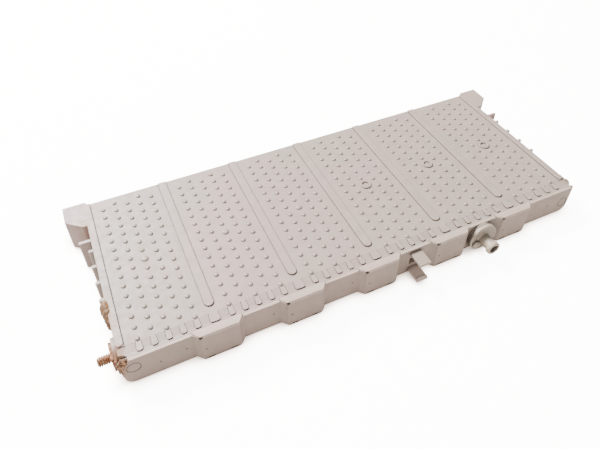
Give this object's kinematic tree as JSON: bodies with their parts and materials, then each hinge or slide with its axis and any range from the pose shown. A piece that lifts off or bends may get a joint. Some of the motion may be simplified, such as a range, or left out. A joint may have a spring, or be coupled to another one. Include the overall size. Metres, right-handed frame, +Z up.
{
  "type": "prismatic battery module",
  "caption": "Flat plastic battery monobloc with cell compartments in a row, a welded lid, end terminals, a safety vent nozzle and a sensor clip.",
  "frame": {"origin": "on the floor plane, under the middle of the centre rib of the lower broad face", "axes": "+X along the row of cells, +Y from the lid towards the mounting ears, +Z up, through the thin side; the vent and the sensor clip point to -Y"},
  "size_m": [0.285, 0.1187, 0.0196],
  "materials": {
    "case_plastic": "moulded light grey",
    "lid_plastic": "moulded warm grey",
    "vent_plastic": "moulded pale grey",
    "seal_rubber": "moulded black",
    "stud_metal": "corroded plating, copper and rust",
    "washer_metal": "rusted",
    "nickel": "bright nickel plate",
    "brass": "turned",
    "positive_plate": "pasted nickel foam, nearly black",
    "negative_plate": "pasted strip, dark grey",
    "separator_fabric": "white nonwoven"
  },
  "bodies": {
    "module": {"case": "case_plastic", "lid": "lid_plastic", "vent_nozzle": "vent_plastic", "terminal_stud_left": "stud_metal", "terminal_washer_left": "washer_metal", "terminal_seal_left": "seal_rubber", "mounting_insert_left": "brass", "terminal_stud_right": "stud_metal", "terminal_washer_right": "washer_metal", "terminal_seal_right": "seal_rubber", "mounting_insert_right": "brass", "cell_connector_1": "nickel", "connector_seal_1": "seal_rubber", "cell_connector_2": "nickel", "connector_seal_2": "seal_rubber", "cell_connector_3": "nickel", "connector_seal_3": "seal_rubber", "cell_connector_4": "nickel", "connector_seal_4": "seal_rubber", "cell_connector_5": "nickel", "connector_seal_5": "seal_rubber", "positive_plates_1": "positive_plate", "negative_plates_1": "negative_plate", "separator_1": "separator_fabric", "positive_plates_2": "positive_plate", "negative_plates_2": "negative_plate", "separator_2": "separator_fabric", "positive_plates_3": "positive_plate", "negative_plates_3": "negative_plate", "separator_3": "separator_fabric", "positive_plates_4": "positive_plate", "negative_plates_4": "negative_plate", "separator_4": "separator_fabric", "positive_plates_5": "positive_plate", "negative_plates_5": "negative_plate", "separator_5": "separator_fabric", "positive_plates_6": "positive_plate", "negative_plates_6": "negative_plate", "separator_6": "separator_fabric"},
    "valve": {"safety_valve": "seal_rubber"}
  },
  "joints": [
    {"name": "valve_lift", "type": "slide", "parent": "module", "child": "valve", "axis": [0, -1, 0], "range_m": [0, 0.0008], "stiffness_N_per_m": 4000, "springref_m": -0.002}
  ]
}
